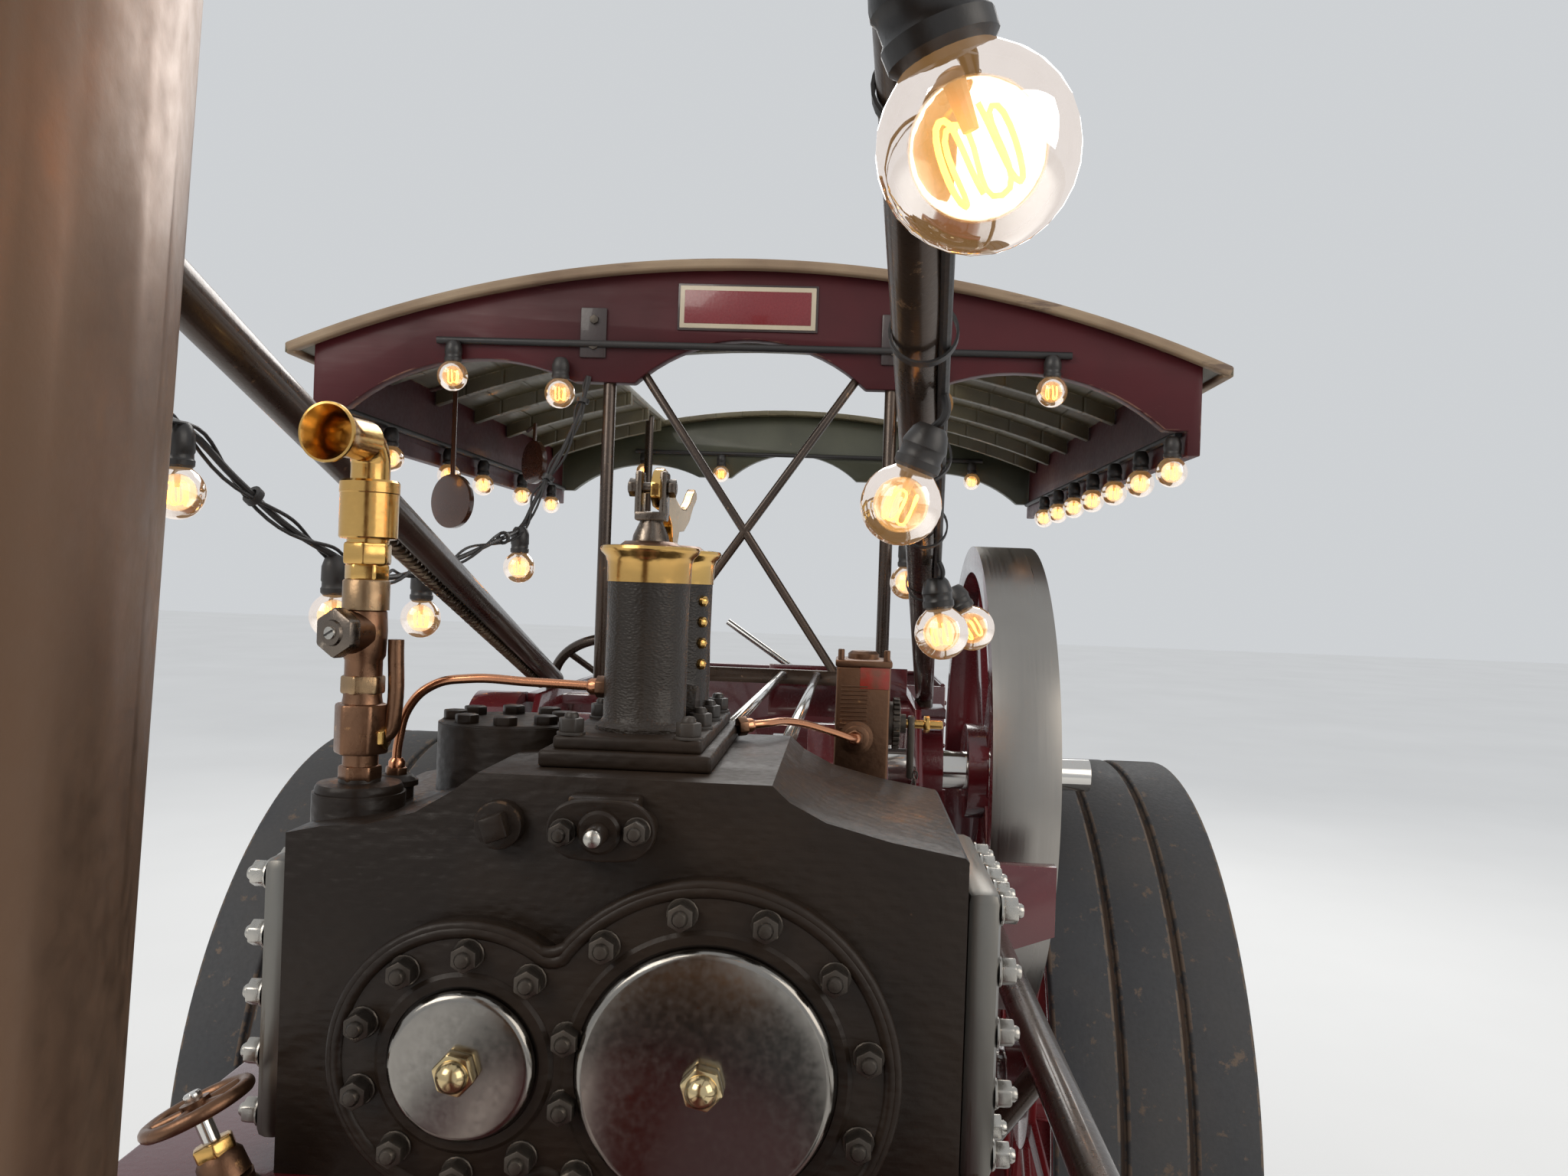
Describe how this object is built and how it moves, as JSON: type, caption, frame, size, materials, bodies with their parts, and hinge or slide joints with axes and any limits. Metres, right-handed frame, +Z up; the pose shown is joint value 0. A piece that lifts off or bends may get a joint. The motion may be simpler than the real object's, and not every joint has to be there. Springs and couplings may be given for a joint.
{
  "type": "miniature steam traction engine",
  "caption": "Half-size compound road traction engine with canopy, rubber-banded wheels, open crankshaft and motion, chimney stays and a string of festoon lamps",
  "frame": {"origin": "centre of the bounding box on the ground", "axes": "+X forward to the chimney, +Y to the engine's left, +Z up"},
  "size_m": [3.256, 1.31, 1.712],
  "materials": {
    "boiler_cladding": "deep gloss maroon",
    "smokebox_black": "satin black",
    "chimney_bronze": "satin copper-brown",
    "frame_maroon": "gloss maroon",
    "casting_black": "thick gloss black on a coarse casting",
    "polished_steel": "polished",
    "valve_brass": "bright, lightly tarnished",
    "lubricator_copper": "tarnished copper",
    "wheel_red": "gloss dark red",
    "tyre_rubber": "worn grey-black rubber",
    "roof_olive": "satin olive",
    "tube_dark": "dark patinated tube",
    "pipe_copper": "bright copper",
    "chain_steel": "oiled steel",
    "seat_black": "matt",
    "cable_black": "matt",
    "holder_black": "matt",
    "bulb_glass": "clear glass with a warm filament",
    "mirror_back": "brown gloss"
  },
  "bodies": {
    "chassis": {"boiler_barrel": "boiler_cladding", "smokebox": "smokebox_black", "chimney": "chimney_bronze", "firebox": "boiler_cladding", "hornplates": "frame_maroon", "ashpan": "smokebox_black", "belly_tank": "frame_maroon", "cylinder_saddle": "frame_maroon", "clack_valve": "lubricator_copper", "cylinder_block": "casting_black", "cylinder_covers": "casting_black", "cover_discs": "polished_steel", "valve_chest_covers": "polished_steel", "safety_valve": "valve_brass", "whistle_stack": "valve_brass", "lubricator": "lubricator_copper", "motion_frame": "frame_maroon", "crossheads": "polished_steel", "gear_guard": "frame_maroon", "rear_axle": "polished_steel", "front_bracket": "frame_maroon", "steering_column": "polished_steel", "steering_chains": "chain_steel", "tender": "frame_maroon", "driver_seat": "seat_black", "drawbar": "smokebox_black", "canopy_boards": "frame_maroon", "roof_panels": "roof_olive", "canopy_posts": "tube_dark", "chimney_stays": "tube_dark", "grab_rail": "tube_dark", "canopy_mirrors": "mirror_back", "copper_pipes": "pipe_copper", "footplate_controls": "polished_steel", "lamp_wiring": "cable_black", "lamp_holders": "holder_black", "lamp_bulbs": "bulb_glass"},
    "rear_wheel_left_body": {"rear_wheel_left": "wheel_red", "rear_tyre_left": "tyre_rubber"},
    "rear_wheel_right_body": {"rear_wheel_right": "wheel_red", "rear_tyre_right": "tyre_rubber"},
    "front_axle_body": {"front_axle": "wheel_red"},
    "front_wheel_left_body": {"front_wheel_left": "wheel_red", "front_tyre_left": "tyre_rubber"},
    "front_wheel_right_body": {"front_wheel_right": "wheel_red", "front_tyre_right": "tyre_rubber"},
    "crankshaft_body": {"crankshaft": "polished_steel", "flywheel": "frame_maroon"},
    "high_rod_body": {"high_connecting_rod": "polished_steel"},
    "low_rod_body": {"low_connecting_rod": "polished_steel"},
    "high_eccentric_body": {"high_eccentric_rod": "polished_steel"},
    "low_eccentric_body": {"low_eccentric_rod": "polished_steel"},
    "steering_wheel_body": {"steering_wheel": "tube_dark"},
    "steering_roller_body": {"steering_roller": "chain_steel"},
    "smokebox_door_body": {"smokebox_door": "smokebox_black"},
    "firehole_door_body": {"firehole_door": "smokebox_black"}
  },
  "joints": [
    {"name": "rear_wheel_left_spin", "type": "hinge", "parent": "chassis", "child": "rear_wheel_left_body", "pos_m": [-0.433, 0.529, 0.495], "axis": [0, 1, 0], "continuous": true},
    {"name": "rear_wheel_right_spin", "type": "hinge", "parent": "chassis", "child": "rear_wheel_right_body", "pos_m": [-0.433, -0.529, 0.495], "axis": [0, 1, 0], "continuous": true},
    {"name": "steer", "type": "hinge", "parent": "chassis", "child": "front_axle_body", "pos_m": [1.328, 0, 0.3], "axis": [0, 0, 1], "range_deg": [-24, 24], "deforming": ["steering_chains"]},
    {"name": "front_wheel_left_spin", "type": "hinge", "parent": "front_axle_body", "child": "front_wheel_left_body", "pos_m": [1.328, 0.378, 0.3], "axis": [0, 1, 0], "continuous": true},
    {"name": "front_wheel_right_spin", "type": "hinge", "parent": "front_axle_body", "child": "front_wheel_right_body", "pos_m": [1.328, -0.378, 0.3], "axis": [0, 1, 0], "continuous": true},
    {"name": "crank_turn", "type": "hinge", "parent": "chassis", "child": "crankshaft_body", "pos_m": [-0.143, 0, 1.012], "axis": [0, 1, 0], "continuous": true},
    {"name": "high_rod_turn", "type": "hinge", "parent": "crankshaft_body", "child": "high_rod_body", "pos_m": [-0.085, -0.032, 1.012], "axis": [0, 1, 0], "continuous": true},
    {"name": "low_rod_turn", "type": "hinge", "parent": "crankshaft_body", "child": "low_rod_body", "pos_m": [-0.143, 0.085, 0.954], "axis": [0, 1, 0], "continuous": true},
    {"name": "high_eccentric_turn", "type": "hinge", "parent": "crankshaft_body", "child": "high_eccentric_body", "pos_m": [-0.131, -0.093, 1.012], "axis": [0, 1, 0], "continuous": true},
    {"name": "low_eccentric_turn", "type": "hinge", "parent": "crankshaft_body", "child": "low_eccentric_body", "pos_m": [-0.143, 0.146, 1.024], "axis": [0, 1, 0], "continuous": true},
    {"name": "steering_roller_turn", "type": "hinge", "parent": "chassis", "child": "steering_roller_body", "pos_m": [0.11, 0, 0.33], "axis": [0, 1, 0], "range_deg": [-139.2, 139.2]},
    {"name": "steering_wheel_turn", "type": "hinge", "parent": "chassis", "child": "steering_wheel_body", "pos_m": [-0.7, -0.262, 1.05], "axis": [-0.7908, 0, 0.6121], "range_deg": [-960, 960]},
    {"name": "smokebox_door_swing", "type": "hinge", "parent": "chassis", "child": "smokebox_door_body", "pos_m": [1.475, 0.212, 0.69], "axis": [0, 0, 1], "range_deg": [0, 110]},
    {"name": "firehole_door_swing", "type": "hinge", "parent": "chassis", "child": "firehole_door_body", "pos_m": [-0.39, 0.092, 0.64], "axis": [0, 0, -1], "range_deg": [0, 100]}
  ],
  "couplings": [
    {"joint": "high_rod_turn", "follows": "crank_turn", "ratio": -1},
    {"joint": "low_rod_turn", "follows": "crank_turn", "ratio": -1},
    {"joint": "high_eccentric_turn", "follows": "crank_turn", "ratio": -1},
    {"joint": "low_eccentric_turn", "follows": "crank_turn", "ratio": -1},
    {"joint": "steering_roller_turn", "follows": "steer", "ratio": 5.8},
    {"joint": "steering_wheel_turn", "follows": "steer", "ratio": 40}
  ]
}
